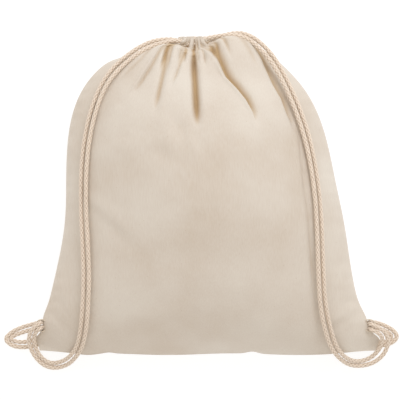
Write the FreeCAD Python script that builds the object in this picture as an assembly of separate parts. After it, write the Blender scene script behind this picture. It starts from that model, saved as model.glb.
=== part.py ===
import FreeCAD, Part
import math
import os

from FreeCAD import Vector

# A drawstring backpack in plain cotton: two sewn panels, a cord casing gathered
# tight at the mouth, and two cords that are pulled out as shoulder loops.
# It lies on its back, a little puffed up. Millimetres, +X across the bag,
# +Y towards the gathered mouth, +Z up out of the front panel. The origin is the
# middle of the bag's footprint, on the surface that it lies on.

# ---- driving dimensions -------------------------------------------------
cloth_thick = 1.2            # panel cloth with its give, as one plain layer
cord_dia = 5.0               # braided cotton cord
channel_play = 0.4           # room around the two cords in the casing's channel
lane_gap = 0.6               # air between the two cords, in the casing and at the knots

bag_width = 370.0            # across the bottom seam
bag_length = 332.5           # from the bottom seam to the neck
crown = 78.0                 # how far the front panel stands above its seam
floor_dip = 0.5              # how far the back panel presses flat on the floor
corner_z = 20.0              # height of the seam at the bottom corners

mouth_x = -12.5              # the gather sits a little left of the middle
mouth_z = 34.0               # height of the mouth's middle
mouth_half_length = 23.0     # outer half length of the gathered neck
mouth_open_half = 4.6        # half height of the opening left, at its middle
mouth_open_end = 3.2         # and at its two ends
casing_half_length = 11.0    # each casing half, from its middle to its slit
casing_inner_wall = 1.5      # cloth between the opening and the channel
casing_outer_wall = 5.1      # bunched cloth outside the channel, at the middle
casing_top_wall = 1.2        # folded edge above the channel
casing_hem = 3.9             # cloth below the channel, with the stitch row

seam_caught = 0.5            # how deep the allowances are caught in the seam
seam_allowance = 8.0         # sewn and overlocked edge inside the bag
allowance_thick = 1.4
allowance_from_bottom = 24.5
allowance_from_neck = 20.0
bottom_allowance_margin = 52.0

tab_from_bottom = 33.0       # middle of the tape loop in each side seam
tab_bar = 2.6                # width of the tape around the eye
tab_thick = 2.4
tab_root = 1.6               # how deep the tape is caught in the seam
eye_length_play = 2.0        # room beside the two strands in the tape's eye
eye_depth_play = 2.8         # and between them and the seam

knot_length = 18.0
knot_bulge = 2.6             # how far the knot stands out over its two strands
knot_end_bulge = 0.8
knot_y = -155.2              # the knots lie just above the bottom corners
knot_floor_gap = 0.1
knot_overlap = 1.0           # how far the strands run into the knot

thread_dia = 0.8
stitch_length = 2.2
stitch_pitch = 3.2
stitch_edge = 1.8            # stitch row above the casing's lower edge
bartack_length = 3.0
bartack_pitch = 0.9
bartack_stitches = 4

# ---- sizes that follow ----------------------------------------------------
lane_step = cord_dia + lane_gap
channel_size = cord_dia + 2 * channel_play
casing_height = casing_top_wall + lane_step + channel_size + casing_hem
casing_run_height = mouth_open_half + casing_inner_wall + channel_size / 2
mouth_half_height = casing_run_height + channel_size / 2 + casing_outer_wall
casing_top_y = (bag_length + casing_height) / 2
neck_y = casing_top_y - casing_height
bag_bottom_y = neck_y - bag_length
tab_y = bag_bottom_y + tab_from_bottom
tab_eye = 2 * cord_dia + eye_length_play
tab_reach = cord_dia + eye_depth_play + tab_bar
knot_dia = 2 * cord_dia + knot_bulge
knot_end_dia = 2 * cord_dia + knot_end_bulge
knot_z = knot_dia / 2 + knot_floor_gap

# ---- outline of the bag -------------------------------------------------
# Stations from the bottom seam to the neck: how far along the bag, left edge and
# right edge from 0 at the neck to 1 at the corner, height of the side seam, rise
# of the front panel as a share of the crown, drop of the back panel.
stations = [
    (0.0, 1.0, 1.0, corner_z, 0.0, 0.0),
    (0.074, 0.980, 0.954, 20.8, 0.397, 8.5),
    (0.209, 0.911, 0.861, 25.0, 0.718, 23.0),
    (0.405, 0.820, 0.797, 28.5, 0.936, 28.8),
    (0.570, 0.801, 0.734, 30.0, 1.0, 30.5),
    (0.735, 0.780, 0.662, 31.0, 0.910, 31.0),
    (0.862, 0.694, 0.553, 32.0, 0.705, 28.0),
    (0.940, 0.559, 0.427, 33.0, 0.500, 23.0),
    (0.976, 0.411, 0.330, 33.5, 0.359, 19.5),
    (0.994, 0.177, 0.169, 34.0, 0.256, 18.0),
    (1.0, 0.0, 0.0, mouth_z, mouth_half_height / crown, mouth_half_height),
]
rows = 27                    # sections worked out between the stations
columns = 25                 # points across each section


def through(values):
    """A smooth curve of one value over the stations."""
    curve = Part.BSplineCurve()
    points = [Vector(n, value, 0) for n, value in enumerate(values)]
    curve.interpolate(Points=points, Parameters=[float(n) for n in range(len(values))])
    return curve


tracks = [through([station[n] for station in stations]) for n in range(6)]


def section(v):
    """Where the seams and panels are at v, from 0 at the bottom seam to 1 at the neck."""
    at = v * (len(stations) - 1)
    along, left, right, seam_z, rise, drop = [track.value(at).y for track in tracks]
    neck_left, neck_right = mouth_x - mouth_half_length, mouth_x + mouth_half_length
    left_x = neck_left - left * (bag_width / 2 + neck_left)
    right_x = neck_right + right * (bag_width / 2 - neck_right)
    y = bag_bottom_y + along * bag_length
    return y, left_x, right_x, seam_z, rise * crown, min(drop, seam_z + floor_dip)


def front_profile(across):
    return max(0.0, 1 - across * across) ** 0.8


def back_profile(across):
    return max(0.0, 1 - across ** 4) ** 0.6


def panel_point(v, angle, side, inset):
    """A point of one panel. side is 1 for the front and -1 for the back."""
    y, left, right, seam_z, rise, drop = section(v)
    half = (right - left) / 2 - inset
    across = -math.cos(angle)
    if side > 0:
        height = max(rise - inset, 0.0) * front_profile(across)
    else:
        height = -max(drop - inset, 0.0) * back_profile(across)
    return Vector((left + right) / 2 + half * across, y, seam_z + height)


def panel_surface(side, inset):
    grid = []
    for row in range(rows + 1):
        v = row / rows
        sewn = inset * max(0.0, 1 - v * (len(stations) - 1))
        line = []
        for column in range(columns):
            point = panel_point(v, math.pi * column / (columns - 1), side, inset)
            line.append(point + Vector(0, sewn, 0))
        grid.append(line)
    surface = Part.BSplineSurface()
    surface.interpolate(grid)
    return surface


def borders(surface):
    """The four edge curves of a surface, as edges."""
    u0, u1, v0, v1 = surface.bounds()
    return [surface.uIso(u0).toShape(), surface.uIso(u1).toShape(),
            surface.vIso(v0).toShape(), surface.vIso(v1).toShape()]


def closed_solid(faces):
    shell = Part.makeCompound(faces)
    shell.sewShape(0.01)
    solid = Part.Solid(shell.Shells[0])
    if solid.Volume < 0:
        solid.reverse()
    return solid


def panel(side):
    outer = panel_surface(side, 0.0)
    inner = panel_surface(side, cloth_thick)
    faces = [outer.toShape(), inner.toShape()]
    for edge, facing in zip(borders(outer), borders(inner)):
        faces.append(Part.makeRuledSurface(edge, facing))
    return closed_solid(faces)


def nearest_station(y):
    """Where along the bag, from 0 to 1, the side seams reach this y."""
    low, high = 0.0, 1.0
    for _ in range(40):
        middle = (low + high) / 2
        if section(middle)[0] < y:
            low = middle
        else:
            high = middle
    return low


def seam_point(v, side, inward=0.0):
    """A point of the left (-1) or right (1) side seam, or just inside it."""
    y, left, right, seam_z = section(v)[:4]
    x = left + inward if side < 0 else right - inward
    return Vector(x, y, seam_z)


# ---- casing -------------------------------------------------------------
upper_lane_y = casing_top_y - casing_top_wall - channel_play - cord_dia / 2
lower_lane_y = upper_lane_y - lane_step
left_end_x = mouth_x - casing_half_length
right_end_x = mouth_x + casing_half_length


def neck_height(x):
    return mouth_half_height * front_profile((x - mouth_x) / mouth_half_length)


def casing(side):
    """Half of the gathered hem, with the channel that both cords run through."""
    outer = []
    for n in range(9):
        x = left_end_x + 2 * casing_half_length * n / 8
        outer.append(Vector(x, neck_y, mouth_z + side * neck_height(x)))
    rim = Part.BSplineCurve()
    rim.interpolate(outer)
    open_left = Vector(left_end_x, neck_y, mouth_z + side * mouth_open_end)
    open_middle = Vector(mouth_x, neck_y, mouth_z + side * mouth_open_half)
    open_right = Vector(right_end_x, neck_y, mouth_z + side * mouth_open_end)
    outline = Part.Wire([
        rim.toShape(),
        Part.makeLine(outer[-1], open_right),
        Part.Arc(open_right, open_middle, open_left).toShape(),
        Part.makeLine(open_left, outer[0]),
    ])
    body = Part.Face(outline).extrude(Vector(0, casing_top_y - neck_y, 0))
    channel_y = lower_lane_y - cord_dia / 2 - channel_play
    channel_z = mouth_z + side * casing_run_height - channel_size / 2
    channel = Part.makeBox(2 * casing_half_length + 2, lane_step + channel_size, channel_size,
                           Vector(left_end_x - 1, channel_y, channel_z))
    return body.cut(channel)


def stitch(middle, direction, length):
    start = middle - direction * (length / 2)
    return Part.makeCylinder(thread_dia / 2, length, start, direction)


def casing_stitching(side):
    """The row that closes the hem, half sunk in the cloth."""
    row = []
    count = int((2 * casing_half_length - stitch_length) / stitch_pitch) + 1
    for n in range(count):
        x = mouth_x + stitch_pitch * (n - (count - 1) / 2)
        middle = Vector(x, neck_y + stitch_edge, mouth_z + side * neck_height(x))
        slope = side * (neck_height(x + 0.5) - neck_height(x - 0.5))
        row.append(stitch(middle, Vector(1, 0, slope).normalize(), stitch_length))
    return Part.makeCompound(row)


def slit_bartack(side):
    """Stitches across the top end of a side seam, below the cord's slit."""
    row = []
    for n in range(bartack_stitches):
        middle = seam_point(1 - 0.004 * (n + 1), side)
        row.append(stitch(middle, Vector(0, 0, 1), bartack_length))
    return Part.makeCompound(row)


# ---- seams --------------------------------------------------------------
def bar_along(rails):
    """A solid with four curves as its long edges."""
    ring = zip(rails, rails[1:] + rails[:1])
    faces = [Part.makeRuledSurface(edge, facing) for edge, facing in ring]
    for end in (0, -1):
        corners = [rail.Vertexes[end].Point for rail in rails]
        faces.append(Part.Face(Part.makePolygon(corners + corners[:1])))
    return closed_solid(faces)


def side_allowance(side):
    low = nearest_station(bag_bottom_y + allowance_from_bottom)
    high = nearest_station(neck_y - allowance_from_neck)
    rails = []
    for inward, lift in ((0, 1), (1, 1), (1, -1), (0, -1)):
        depth = cloth_thick - seam_caught + inward * (seam_caught + seam_allowance)
        points = []
        for n in range(15):
            v = low + n * (high - low) / 14
            points.append(seam_point(v, side, depth) + Vector(0, 0, lift * allowance_thick / 2))
        rail = Part.BSplineCurve()
        rail.interpolate(points)
        rails.append(rail.toShape())
    return bar_along(rails)


def bottom_allowance():
    length = bag_width - 2 * bottom_allowance_margin
    start = Vector(-length / 2, bag_bottom_y + cloth_thick - seam_caught, corner_z)
    return Part.makeBox(length, seam_caught + seam_allowance, allowance_thick, start)


# ---- corner tabs --------------------------------------------------------
def rounded_plate(x0, x1, y0, y1, radius, low_z, high_z):
    plate = Part.makeBox(x1 - x0, y1 - y0, high_z - low_z, Vector(x0, y0, low_z))
    uprights = [e for e in plate.Edges if abs(e.tangentAt(e.FirstParameter).z) > 0.9]
    return plate.makeFillet(radius, uprights)


def corner_tab(side):
    """A loop of cotton tape caught in the side seam, with its eye facing up."""
    seam = seam_point(nearest_station(tab_y), side)
    tip_x = seam.x + side * tab_reach
    root_x = seam.x - side * tab_root
    eye_tip_x = tip_x - side * tab_bar
    low_z, high_z = seam.z - tab_thick / 2, seam.z + tab_thick / 2
    half = tab_eye / 2
    loop = rounded_plate(min(tip_x, root_x), max(tip_x, root_x), tab_y - half - tab_bar,
                         tab_y + half + tab_bar, 1.5, low_z, high_z)
    eye = rounded_plate(min(eye_tip_x, seam.x), max(eye_tip_x, seam.x), tab_y - half,
                        tab_y + half, 1.0, low_z - 1, high_z + 1)
    return loop.cut(eye)


def tab_bartack(side):
    """Close stitches across both arms of the tape, at the seam."""
    seam = seam_point(nearest_station(tab_y), side)
    row = []
    for arm in (-1, 1):
        arm_y = tab_y + arm * (tab_eye + tab_bar) / 2
        for n in range(bartack_stitches):
            middle = Vector(seam.x + side * (0.8 + bartack_pitch * n), arm_y, seam.z + tab_thick / 2)
            row.append(stitch(middle, Vector(0, 1, 0), tab_bar - 0.6))
    return Part.makeCompound(row)


# ---- cords --------------------------------------------------------------
def tube(name, points):
    """Straight runs joined by arcs, each arc as large as its two runs allow."""
    points = [Vector(*point) for point in points]
    edges, radii, at, length = [], [], points[0], 0.0
    for before, corner, after in zip(points, points[1:], points[2:]):
        back, ahead = (before - corner), (after - corner)
        trim = 0.45 * min(back.Length, ahead.Length)
        back.normalize()
        ahead.normalize()
        turn = math.pi - back.getAngle(ahead)
        radius = trim / math.tan(turn / 2)
        radii.append(round(radius, 1))
        start, end = corner + back * trim, corner + ahead * trim
        middle = corner + (back + ahead).normalize() * (radius / math.cos(turn / 2) - radius)
        edges.append(Part.LineSegment(at, start).toShape())
        edges.append(Part.Arc(start, middle, end).toShape())
        length += at.distanceToPoint(start) + radius * turn
        at = end
    edges.append(Part.LineSegment(at, points[-1]).toShape())
    length += at.distanceToPoint(points[-1])
    path = Part.Wire(edges)
    circle = Part.Circle(points[0], points[1] - points[0], cord_dia / 2).toShape()
    solid = path.makePipeShell([Part.Wire(circle)], True, True)
    wanted = math.pi * cord_dia ** 2 / 4 * length
    print(f"{name}: length {length:.1f}, radii {radii}, volume / section x length "
          f"{solid.Volume / wanted:.4f}")
    return solid


front_exit_z = mouth_z + casing_run_height
back_exit_z = mouth_z - casing_run_height

left_front_route = [
    (left_end_x, lower_lane_y, front_exit_z), (-37, lower_lane_y, front_exit_z),
    (-50, 165.5, 44.5), (-64, 161.5, 48), (-82, 150.5, 53), (-102, 131.5, 60), (-115, 111, 63),
    (-126, 76, 65.5), (-131.5, 36, 65), (-132.3, -8, 64.5), (-130, -50, 65), (-128.5, -88, 63),
    (-130, -120, 57.5), (-132.5, -146, 47.5), (-137.5, -165.5, 35), (-145, -178, 24.5),
    (-155, -187, 12), (-168.5, -190, 4), (-182, -185, 3.5), (-191.5, -175, 7), (-197.5, -163, 12),
    (-200.5, -151, 19), (-200, -140, 27), (-183.8, -138.7, 28.5), (-183.8, -138.7, 15.5),
    (-196, -139, 8), (-208, -142, 2.7), (-219, -147, 2.7), (-224.5, -157.5, 2.7),
    (-218, -168.5, 2.7), (-202, -169, 2.7), (-186, -163.5, 4), (-177, -158.5, 6.3),
    (-170.5, knot_y - lane_step / 2, knot_z),
]
left_back_route = [
    (left_end_x, lower_lane_y, back_exit_z), (-37, lower_lane_y, back_exit_z), (-50, 167.5, 30),
    (-65, 166.5, 38), (-86, 154.5, 47), (-106.5, 135.5, 55), (-120, 113, 58.5), (-131.5, 77, 60.5),
    (-137, 36, 60), (-138, -8, 59.5), (-135.8, -50, 61.5), (-134.3, -88, 60.5), (-136, -120, 55.5),
    (-138.5, -145, 46), (-143.5, -163.5, 34.5), (-150.5, -175.5, 24.5), (-159, -182, 12.5),
    (-170.5, -183.5, 4), (-181, -179, 3.5), (-188, -170.5, 8), (-191.5, -162, 12.5),
    (-194, -153.5, 18.5), (-196, -146.6, 27.3), (-184.2, -144.4, 28.5), (-184.2, -144.4, 15.5),
    (-194, -145, 8), (-204, -147, 3), (-215, -150.5, 2.7), (-218, -158.5, 2.7),
    (-211.5, -163.7, 2.7), (-200, -161.8, 2.7), (-188, -157.5, 3.5), (-177, -153, 6.3),
    (-170.5, knot_y + lane_step / 2, knot_z),
]
right_front_route = [
    (right_end_x, upper_lane_y, front_exit_z), (12, upper_lane_y, front_exit_z),
    (24.5, 175, 44.5), (37, 177, 46), (52, 169, 49), (69.5, 147.5, 55), (84, 118, 61),
    (97, 83, 66), (107, 48, 68), (114, 4, 69.5), (116.5, -38, 70), (117.8, -80, 67),
    (120, -118, 59.5), (126, -146, 48.5), (133, -165, 35.5), (142, -178, 24.5), (154, -187, 11),
    (167.5, -188.5, 4), (180.5, -183, 3.5), (189, -174, 7), (194, -163, 12), (196, -151, 19),
    (193.5, -140, 27), (177, -138.7, 28.5), (177, -138.7, 15.5), (187.5, -138.7, 8),
    (196, -140, 2.7), (204.5, -145, 2.7), (208, -155.5, 2.7), (202, -166.5, 2.7),
    (188, -167, 2.7), (176, -163, 4), (167, -158.5, 6.3), (161, knot_y - lane_step / 2, knot_z),
]
right_back_route = [
    (right_end_x, upper_lane_y, back_exit_z), (12, upper_lane_y, back_exit_z), (25, 177, 30),
    (39, 181, 38), (56, 173, 43.5), (73.5, 151, 49), (88.5, 120, 56), (102, 85, 61), (112, 49, 63.5),
    (119.3, 4, 65), (122, -38, 66), (123.3, -80, 63.5), (125.5, -116, 57), (132, -144, 46.5),
    (138.5, -162, 34.5), (147, -174.5, 25), (157.5, -181.5, 12), (169, -182, 4),
    (179, -177.5, 3.5), (185.5, -169.5, 8), (188, -161.5, 12.5), (189.5, -153.5, 18.5),
    (189.6, -146.6, 27.3), (177.8, -144.4, 28.5), (177.8, -144.4, 15.5), (185, -145, 8),
    (192.5, -145, 3), (200, -148, 2.7), (202.3, -156, 2.7), (195.5, -161.5, 2.7),
    (186, -160, 2.7), (177, -157, 3.5), (167.5, -153, 6.3), (161, knot_y + lane_step / 2, knot_z),
]


def casing_run(exit_x, far_x, lane_y):
    """The cord inside the gather: out along the front, round, and back behind."""
    high, low = mouth_z + casing_run_height, mouth_z - casing_run_height
    outward = math.copysign(casing_run_height, far_x - exit_x)
    path = Part.Wire([
        Part.LineSegment(Vector(exit_x, lane_y, high), Vector(far_x, lane_y, high)).toShape(),
        Part.Arc(Vector(far_x, lane_y, high), Vector(far_x + outward, lane_y, mouth_z),
                 Vector(far_x, lane_y, low)).toShape(),
        Part.LineSegment(Vector(far_x, lane_y, low), Vector(exit_x, lane_y, low)).toShape(),
    ])
    circle = Part.Circle(Vector(exit_x, lane_y, high), Vector(1, 0, 0), cord_dia / 2).toShape()
    return path.makePipeShell([Part.Wire(circle)], True, True)


def knot(strand_end, side):
    """The overhand knot of both strands, as a plain barrel lying under the corner."""
    start = Vector(strand_end[0] + side * knot_overlap, knot_y, knot_z)
    end_r, mid_r = knot_end_dia / 2, knot_dia / 2
    axis_end = start + Vector(-side * knot_length, 0, 0)
    middle = (start + axis_end) * 0.5
    up = Vector(0, 0, 1)
    outline = Part.Wire([
        Part.makeLine(start, start + up * end_r),
        Part.Arc(start + up * end_r, middle + up * mid_r, axis_end + up * end_r).toShape(),
        Part.makeLine(axis_end + up * end_r, axis_end),
        Part.makeLine(axis_end, start),
    ])
    return Part.Face(outline).revolve(start, Vector(1, 0, 0), 360)


# ---- the pieces ---------------------------------------------------------
above_floor = Part.makeBox(600, 600, 300, Vector(-300, -300, 0))
pieces = {
    "front_panel": panel(1),
    "back_panel": panel(-1).common(above_floor),
    "front_casing": casing(1),
    "back_casing": casing(-1),
    "front_casing_stitching": casing_stitching(1),
    "back_casing_stitching": casing_stitching(-1),
    "bottom_seam_allowance": bottom_allowance(),
    "left_cord_front_strand": tube("left_cord_front_strand", left_front_route),
    "left_cord_back_strand": tube("left_cord_back_strand", left_back_route),
    "right_cord_front_strand": tube("right_cord_front_strand", right_front_route),
    "right_cord_back_strand": tube("right_cord_back_strand", right_back_route),
    "left_cord_casing_run": casing_run(left_end_x, right_end_x, lower_lane_y),
    "right_cord_casing_run": casing_run(right_end_x, left_end_x, upper_lane_y),
    "left_cord_knot": knot(left_front_route[-1], -1),
    "right_cord_knot": knot(right_front_route[-1], 1),
}
for name, side in (("left", -1), ("right", 1)):
    pieces[name + "_seam_allowance"] = side_allowance(side)
    pieces[name + "_corner_tab"] = corner_tab(side)
    pieces[name + "_tab_bartack"] = tab_bartack(side)
    pieces[name + "_slit_bartack"] = slit_bartack(side)

os.makedirs("parts", exist_ok=True)
for name, shape in pieces.items():
    if not shape.isValid() or shape.Volume <= 0:
        raise ValueError(name + " is not a sound solid")
    shape.exportStep("parts/" + name + ".step")
    print(name, f"{shape.Volume / 1000:.2f} cm3", len(shape.Solids), "solid(s)")
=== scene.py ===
import math

import bpy
import numpy as np
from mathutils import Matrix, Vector, noise


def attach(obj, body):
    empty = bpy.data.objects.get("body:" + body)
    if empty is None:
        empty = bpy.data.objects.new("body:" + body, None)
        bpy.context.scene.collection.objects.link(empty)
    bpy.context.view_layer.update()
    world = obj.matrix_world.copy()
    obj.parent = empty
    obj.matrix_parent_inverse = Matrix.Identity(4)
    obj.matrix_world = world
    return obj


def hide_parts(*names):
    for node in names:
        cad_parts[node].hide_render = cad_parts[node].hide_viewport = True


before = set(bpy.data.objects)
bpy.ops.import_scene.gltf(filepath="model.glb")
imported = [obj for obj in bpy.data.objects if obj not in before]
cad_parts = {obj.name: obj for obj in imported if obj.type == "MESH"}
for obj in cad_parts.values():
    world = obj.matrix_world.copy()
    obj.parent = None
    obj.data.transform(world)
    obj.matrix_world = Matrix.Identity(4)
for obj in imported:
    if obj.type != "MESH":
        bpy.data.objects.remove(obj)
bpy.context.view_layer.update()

# Drawstring backpack in natural cotton, lying on its back on a pale table.
# Lengths are metres; mm turns the sizes below into them.
mm = 0.001
scene = bpy.context.scene


def hexToLinear(code):
    channels = [int(code[n:n + 2], 16) / 255 for n in (0, 2, 4)]
    return [c / 12.92 if c <= 0.04045 else ((c + 0.055) / 1.055) ** 2.4 for c in channels] + [1.0]


def addNode(tree, kind, settings=None, **links):
    # settings are node properties or socket values; links are sockets to plug in
    node = tree.nodes.new(kind)
    for key, value in (settings or {}).items():
        if isinstance(key, str) and hasattr(node, key):
            setattr(node, key, value)
        else:
            node.inputs[key].default_value = value
    for key, source in links.items():
        tree.links.new(source, node.inputs[key.replace("_", " ")])
    return node


def newMaterial(name, roughness, sheen):
    material = bpy.data.materials.new(name)
    material.use_nodes = True
    shader = material.node_tree.nodes["Principled BSDF"]
    shader.inputs["Roughness"].default_value = roughness
    shader.inputs["IOR"].default_value = 1.5
    shader.inputs["Sheen Weight"].default_value = sheen
    shader.inputs["Sheen Roughness"].default_value = 0.5
    return material, material.node_tree, shader


def meshPiece(name, points, faces, material):
    mesh = bpy.data.meshes.new(name)
    mesh.from_pydata([tuple(p) for p in points], [], faces)
    mesh.materials.append(material)
    mesh.polygons.foreach_set("use_smooth", [True] * len(mesh.polygons))
    mesh.update()
    mesh.set_sharp_from_angle(angle=math.radians(70))
    piece = bpy.data.objects.new(name, mesh)
    scene.collection.objects.link(piece)
    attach(piece, "root")
    return piece


def gridFaces(rows, columns, closed=False, flip=False):
    faces = []
    for r in range(rows - 1):
        for c in range(columns if closed else columns - 1):
            d = (c + 1) % columns
            quad = (r * columns + c, r * columns + d, (r + 1) * columns + d, (r + 1) * columns + c)
            faces.append(quad[::-1] if flip else quad)
    return faces


def smoothStep(low, high, x):
    t = np.clip((x - low) / (high - low), 0, 1)
    return t * t * (3 - 2 * t)


view = {
    "middle": (-9.3 * mm, -4.6 * mm, 30 * mm),   # the seam's height
    "width": 436 * mm,                           # seen across at that height
    "distance": 2.6,
}


def makeCamera():
    data = bpy.data.cameras.new("overheadCamera")
    data.sensor_width = 36
    data.lens = data.sensor_width * view["distance"] / view["width"]
    data.clip_end = 20
    camera = bpy.data.objects.new("overheadCamera", data)
    camera.location = Vector(view["middle"]) + Vector((0, 0, view["distance"]))
    scene.collection.objects.link(camera)
    scene.camera = camera


def makeLight(name, place, size, power, tint):
    data = bpy.data.lights.new(name, "AREA")
    data.shape = "DISK"
    data.size = size
    data.energy = power
    data.color = hexToLinear(tint)[:3]
    lamp = bpy.data.objects.new(name, data)
    lamp.location = place
    lamp.rotation_euler = (Vector((0, 0, 0)) - Vector(place)).to_track_quat("-Z", "Y").to_euler()
    scene.collection.objects.link(lamp)


studio = {
    "key": ((0.5, 1.3, 1.3), 0.8, 12.2, "f5f8ff"),      # place, width, power in watts, tint
    "fill": ((-0.9, 0.9, 1.5), 1.3, 1.2, "f7f8ff"),
    "sky": "fff8f2", "skyStrength": 0.8,
    "table": "969696", "tableGlow": 0.78, "tableHalf": 6.0,
}


def makeStudio():
    scene.view_settings.view_transform = "Standard"
    makeLight("keySoftbox", *studio["key"])
    makeLight("fillSoftbox", *studio["fill"])
    world = bpy.data.worlds.new("studioWorld")
    world.use_nodes = True
    sky = world.node_tree.nodes["Background"]
    sky.inputs["Color"].default_value = hexToLinear(studio["sky"])
    sky.inputs["Strength"].default_value = studio["skyStrength"]
    scene.world = world
    paper, _, shader = newMaterial("paleTablePaper", 0.9, 0.0)
    shader.inputs["Base Color"].default_value = hexToLinear(studio["table"])
    shader.inputs["Emission Color"].default_value = hexToLinear("ffffff")
    shader.inputs["Emission Strength"].default_value = studio["tableGlow"]     # lit from below
    half = studio["tableHalf"]
    floor = bpy.data.meshes.new("paleTable")
    floor.from_pydata([(-half, -half, 0), (half, -half, 0), (half, half, 0), (-half, half, 0)], [],
                      [(0, 1, 2, 3)])
    floor.materials.append(paper)
    table = bpy.data.objects.new("paleTable", floor)
    scene.collection.objects.link(table)


makeCamera()
makeStudio()
print("camera and light ready")


clothWeave = {
    "light": "dfd8cc", "mid": "d9d0c3", "dark": "d1c5b5",   # unbleached cotton
    "threadPitch": 1.1,      # mm; real threads lie 0.45 mm apart, drawn coarser so they show
    "slubLength": 9.0,       # mm, thick places along a yarn
    "fleckPitch": 7.0,       # mm, between the bits of seed husk
    # the last tint is painted shade for the bottom of deep folds
    "husk": "b39b78", "foldShadeTint": "ddc6a2",
}
bandTurn = 6.283             # a band texture's scale counts this much for one turn


def makeCottonCloth(name, shade):
    # plain-weave unbleached cotton: matte, warm off-white, with slubs and flecks
    material, tree, shader = newMaterial(name, 0.92, 0.25)
    place = addNode(tree, "ShaderNodeTexCoord").outputs["Object"]
    perMetre = 1 / (clothWeave["threadPitch"] * mm)
    warp = addNode(tree, "ShaderNodeTexWave",
                   {"wave_type": "BANDS", "bands_direction": "X", "Scale": perMetre / bandTurn * 2,
                    "Distortion": 1.2, "Detail": 1.5, "Detail Scale": 0.6}, Vector=place)
    weft = addNode(tree, "ShaderNodeTexWave",
                   {"wave_type": "BANDS", "bands_direction": "Y", "Scale": perMetre / bandTurn * 2,
                    "Distortion": 1.2, "Detail": 1.5, "Detail Scale": 0.6}, Vector=place)
    weave = addNode(tree, "ShaderNodeMath", {"operation": "MULTIPLY"})
    tree.links.new(warp.outputs["Color"], weave.inputs[0])
    tree.links.new(weft.outputs["Color"], weave.inputs[1])
    stretched = addNode(tree, "ShaderNodeMapping", {"Scale": (1.0, 0.12, 1.0)}, Vector=place)
    slubs = addNode(tree, "ShaderNodeTexNoise",
                    {"Scale": 1 / (clothWeave["slubLength"] * 0.12 * mm), "Detail": 3.0},
                    Vector=stretched.outputs["Vector"])
    cloudy = addNode(tree, "ShaderNodeTexNoise", {"Scale": 14.0, "Detail": 2.0}, Vector=place)
    tone = addNode(tree, "ShaderNodeMath", {"operation": "MULTIPLY_ADD", 1: 0.5})
    tree.links.new(slubs.outputs["Fac"], tone.inputs[0])
    tree.links.new(cloudy.outputs["Fac"], tone.inputs[2])
    ramp = addNode(tree, "ShaderNodeValToRGB", {}, Fac=tone.outputs[0])
    ramp.color_ramp.elements[0].position = 0.45
    ramp.color_ramp.elements[0].color = hexToLinear(shade["dark"])
    ramp.color_ramp.elements[1].position = 1.05
    ramp.color_ramp.elements[1].color = hexToLinear(shade["light"])
    middle = ramp.color_ramp.elements.new(0.75)
    middle.color = hexToLinear(shade["mid"])
    flecks = addNode(tree, "ShaderNodeTexVoronoi",
                     {"Scale": 1 / (clothWeave["fleckPitch"] * mm)}, Vector=place)
    fleckMask = addNode(tree, "ShaderNodeMapRange",
                        {"From Min": 0.03, "From Max": 0.075, "To Min": 0.45, "To Max": 0.0},
                        Value=flecks.outputs["Distance"])
    husk = addNode(tree, "ShaderNodeMix", {"data_type": "RGBA"})
    tree.links.new(fleckMask.outputs["Result"], husk.inputs["Factor"])
    tree.links.new(ramp.outputs["Color"], husk.inputs[6])
    husk.inputs[7].default_value = hexToLinear(clothWeave["husk"])
    # painted shade: deep in a fold the colour is multiplied towards a warm tint, standing in for
    # the light bounced between the fold's walls
    depth = addNode(tree, "ShaderNodeAttribute", {"attribute_name": "paintedFoldShade"}).outputs["Fac"]
    warm = addNode(tree, "ShaderNodeMix", {"data_type": "RGBA", "blend_type": "MULTIPLY"})
    tree.links.new(depth, warm.inputs["Factor"])
    tree.links.new(husk.outputs[2], warm.inputs[6])
    warm.inputs[7].default_value = hexToLinear(clothWeave["foldShadeTint"])
    tree.links.new(warm.outputs[2], shader.inputs["Base Color"])
    threads = addNode(tree, "ShaderNodeBump", {"Strength": 0.35, "Distance": 0.25 * mm},
                      Height=weave.outputs[0])
    uneven = addNode(tree, "ShaderNodeBump", {"Strength": 0.3, "Distance": 0.35 * mm},
                     Height=slubs.outputs["Fac"], Normal=threads.outputs["Normal"])
    tree.links.new(uneven.outputs["Normal"], shader.inputs["Normal"])
    rough = addNode(tree, "ShaderNodeMapRange", {"To Min": 0.86, "To Max": 0.97},
                    Value=weave.outputs[0])
    tree.links.new(rough.outputs["Result"], shader.inputs["Roughness"])
    return material


# the crown colour is the yarn's own; the groove colour is painted shade between the yarns
cordYarn = {"crown": "ecdecd", "grooveShade": "a78e74", "yarnPitch": 0.55}


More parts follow.
